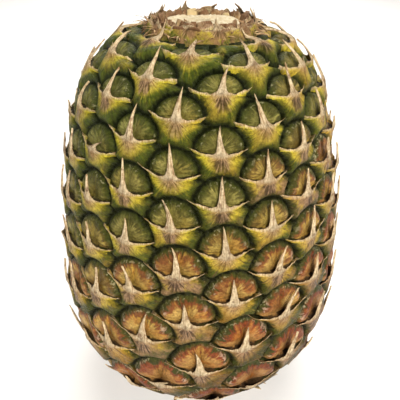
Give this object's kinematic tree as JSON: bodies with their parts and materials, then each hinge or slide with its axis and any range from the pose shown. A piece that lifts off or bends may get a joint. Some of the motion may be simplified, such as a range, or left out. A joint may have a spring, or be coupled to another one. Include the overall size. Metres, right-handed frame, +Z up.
{
  "type": "pineapple",
  "caption": "Whole pineapple with its crown twisted off: a barrel-shaped fruit in spiral rows of eyes with dry points, a pale scar in a torn collar on top, and a flat stalk end to stand on",
  "frame": {"origin": "centre of the flat that the fruit stands on, at the stalk end", "axes": "+Z up along the fruit's axis to the crown scar, -Y towards the viewer of the front, +X to the viewer's right"},
  "size_m": [0.1299, 0.1297, 0.1798],
  "materials": {
    "rind": "waxy fruit skin, dark green near the top, yellow-green to orange-brown lower down",
    "dry_leaf": "dry, papery, straw-brown torn leaf",
    "dry_bract": "dry, papery, brown bract"
  },
  "bodies": {
    "root": {"fruit_body": "rind", "inner_leaf_base_01": "dry_leaf", "inner_leaf_base_02": "dry_leaf", "inner_leaf_base_03": "dry_leaf", "inner_leaf_base_04": "dry_leaf", "inner_leaf_base_05": "dry_leaf", "inner_leaf_base_06": "dry_leaf", "inner_leaf_base_07": "dry_leaf", "inner_leaf_base_08": "dry_leaf", "inner_leaf_base_09": "dry_leaf", "inner_leaf_base_10": "dry_leaf", "inner_leaf_base_11": "dry_leaf", "inner_leaf_base_12": "dry_leaf", "inner_leaf_base_13": "dry_leaf", "outer_leaf_base_01": "dry_leaf", "outer_leaf_base_02": "dry_leaf", "outer_leaf_base_03": "dry_leaf", "outer_leaf_base_04": "dry_leaf", "outer_leaf_base_05": "dry_leaf", "outer_leaf_base_06": "dry_leaf", "outer_leaf_base_07": "dry_leaf", "outer_leaf_base_08": "dry_leaf", "outer_leaf_base_09": "dry_leaf", "outer_leaf_base_10": "dry_leaf", "outer_leaf_base_11": "dry_leaf", "outer_leaf_base_12": "dry_leaf", "outer_leaf_base_13": "dry_leaf", "basal_bract_01": "dry_bract", "basal_bract_02": "dry_bract", "basal_bract_03": "dry_bract", "basal_bract_04": "dry_bract", "basal_bract_05": "dry_bract", "basal_bract_06": "dry_bract", "basal_bract_07": "dry_bract", "basal_bract_08": "dry_bract", "basal_bract_09": "dry_bract", "basal_bract_10": "dry_bract", "basal_bract_11": "dry_bract", "basal_bract_12": "dry_bract", "basal_bract_13": "dry_bract"}
  },
  "joints": []
}
